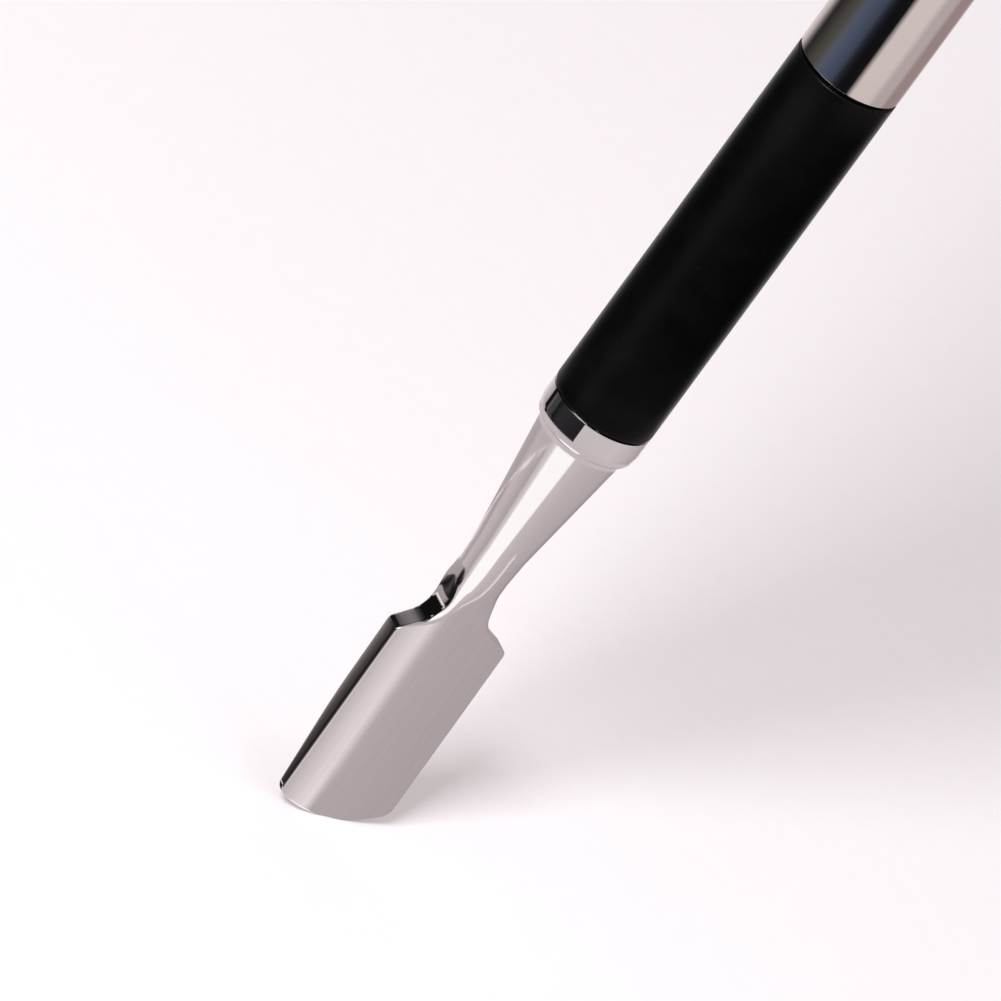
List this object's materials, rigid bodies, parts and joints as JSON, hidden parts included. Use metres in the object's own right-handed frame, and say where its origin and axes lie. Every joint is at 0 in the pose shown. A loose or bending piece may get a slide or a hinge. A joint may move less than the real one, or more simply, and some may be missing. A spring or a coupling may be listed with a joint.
{
  "type": "cuticle pusher",
  "caption": "Double-ended nail cuticle pusher: polished steel handle with soft black grips, a wide square-ended blade and a narrow round-ended blade.",
  "frame": {"origin": "on the handle's axis at the level of the wide blade's end, the lowest point of the tool stood on that blade", "axes": "+Z along the handle from the wide blade to the narrow blade, X across the blades, and the ground working faces look along -Y"},
  "size_m": [0.0086, 0.007, 0.1395],
  "materials": {
    "polished_steel": "mirror polished stainless steel with faint hairlines along the handle",
    "grip_rubber": "matte black soft-touch silicone rubber",
    "collar_steel": "mirror polished stainless steel",
    "bush_brass": "plain turned brass, hidden inside the handle",
    "blade_steel": "polished stainless steel, working face ground to a fine lengthwise satin"
  },
  "bodies": {
    "root": {"barrel": "polished_steel", "front_grip": "grip_rubber", "rear_grip": "grip_rubber", "front_collar": "collar_steel", "rear_collar": "collar_steel", "front_bush": "bush_brass", "rear_bush": "bush_brass", "wide_tip": "blade_steel", "narrow_tip": "blade_steel"}
  },
  "joints": []
}
